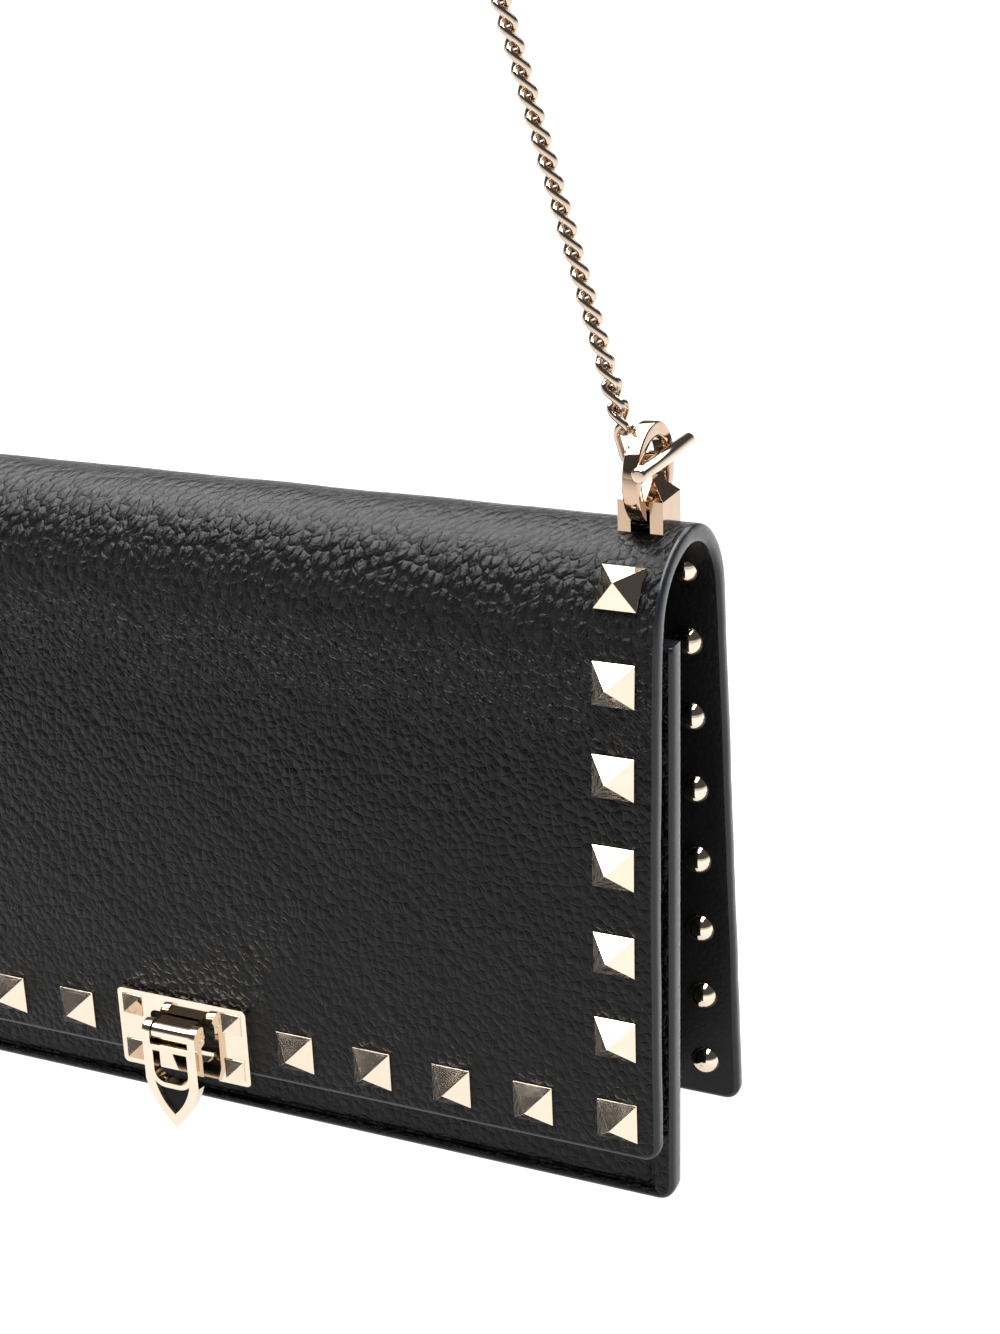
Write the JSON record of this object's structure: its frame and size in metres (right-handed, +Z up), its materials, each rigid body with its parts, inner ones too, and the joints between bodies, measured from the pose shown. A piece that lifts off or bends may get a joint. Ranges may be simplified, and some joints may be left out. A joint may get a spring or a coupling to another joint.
{
  "type": "chain wallet",
  "caption": "Studded leather flap wallet with a flip lock, folding gussets, card slots, a zipped centre pocket and a metal chain strap held by ring posts.",
  "frame": {"origin": "middle of the wallet's width and depth, on the surface under its front and back panels", "axes": "+X along the wallet's width, +Y from the flap to the back, +Z up towards the chain posts"},
  "size_m": [0.1926, 0.0537, 0.3178],
  "materials": {
    "cover_leather": "pebbled grain",
    "lining_leather": "smooth",
    "pocket_leather": "fine grain",
    "zip_tape": "woven",
    "gold_metal": "polished pale gold",
    "plain_steel": "plain"
  },
  "bodies": {
    "body": {"back_panel": "cover_leather", "roof_lining": "lining_leather", "back_facing": "lining_leather", "gusset_left": "lining_leather", "gusset_right": "lining_leather", "base_gusset": "lining_leather", "pocket_front_wall": "pocket_leather", "pocket_rear_wall": "pocket_leather", "card_slot_1": "pocket_leather", "card_slot_2": "pocket_leather", "card_slot_3": "pocket_leather", "zip_tapes": "zip_tape", "zip_teeth": "gold_metal", "zip_stops": "gold_metal", "back_studs": "gold_metal", "back_rivet_caps": "gold_metal", "post_left": "gold_metal", "post_right": "gold_metal", "post_washers": "gold_metal"},
    "front": {"front_panel": "cover_leather", "front_lining": "lining_leather", "front_border": "cover_leather", "body_magnet": "plain_steel"},
    "flap": {"flap_panel": "cover_leather", "flap_lining": "lining_leather", "flap_studs": "gold_metal", "lock_plate": "gold_metal", "lock_bridge": "gold_metal", "lock_pin": "gold_metal", "lock_back_plate": "plain_steel", "lock_screws": "gold_metal", "flap_magnet": "plain_steel"},
    "tongue": {"lock_tongue": "gold_metal"},
    "slider": {"zip_slider": "gold_metal"},
    "pull": {"zip_pull": "gold_metal"},
    "strap": {"ring_left": "gold_metal", "ring_right": "gold_metal", "toggle_left": "gold_metal", "toggle_right": "gold_metal", "end_link_left": "gold_metal", "end_link_right": "gold_metal", "chain": "gold_metal"}
  },
  "joints": [
    {"name": "flap_open", "type": "hinge", "parent": "body", "child": "flap", "pos_m": [0, -0.00755, 0.11869], "axis": [-1, 0, 0], "range_deg": [0, 90]},
    {"name": "tongue_flip", "type": "hinge", "parent": "flap", "child": "tongue", "pos_m": [0.0005, -0.02483, 0.0194], "axis": [-1, 0, 0], "range_deg": [0, 90]},
    {"name": "front_squeeze", "type": "hinge", "parent": "body", "child": "front", "pos_m": [0, -0.012, 0.003], "axis": [-1, 0, 0], "range_deg": [0, 4], "deforming": ["gusset_left", "gusset_right"]},
    {"name": "zip_slide", "type": "slide", "parent": "body", "child": "slider", "axis": [-1, 0, 0], "range_m": [0, 0.115]},
    {"name": "pull_swing", "type": "hinge", "parent": "slider", "child": "pull", "pos_m": [0.062, 0.005, 0.0921], "axis": [0, 1, 0], "range_deg": [0, 135]},
    {"name": "chain_swing", "type": "hinge", "parent": "body", "child": "strap", "pos_m": [0, -0.00075, 0.1289], "axis": [-1, 0, 0], "range_deg": [0, 45]}
  ]
}
